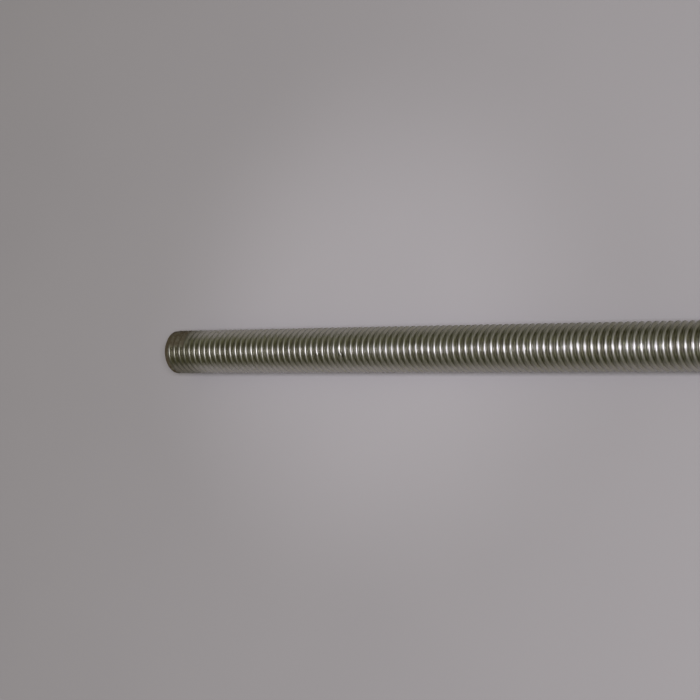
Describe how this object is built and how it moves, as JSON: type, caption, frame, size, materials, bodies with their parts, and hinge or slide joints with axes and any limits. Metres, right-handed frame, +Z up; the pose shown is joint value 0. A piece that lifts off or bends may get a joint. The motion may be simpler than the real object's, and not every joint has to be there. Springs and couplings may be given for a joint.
{
  "type": "threaded rod",
  "caption": "Straight fully threaded steel rod with a right-hand M12 x 1.75 coarse thread, zinc plated, with plain cut and chamfered ends.",
  "frame": {"origin": "under the middle of the rod, on the surface that it lies on", "axes": "+X along the rod's axis, from the rusted end to the other, +Z up"},
  "size_m": [0.16, 0.0116, 0.0115],
  "materials": {
    "zinc_plate": "bright zinc plate, a little dulled, with brown rust at one cut end"
  },
  "bodies": {
    "root": {"threaded_rod": "zinc_plate"}
  },
  "joints": []
}
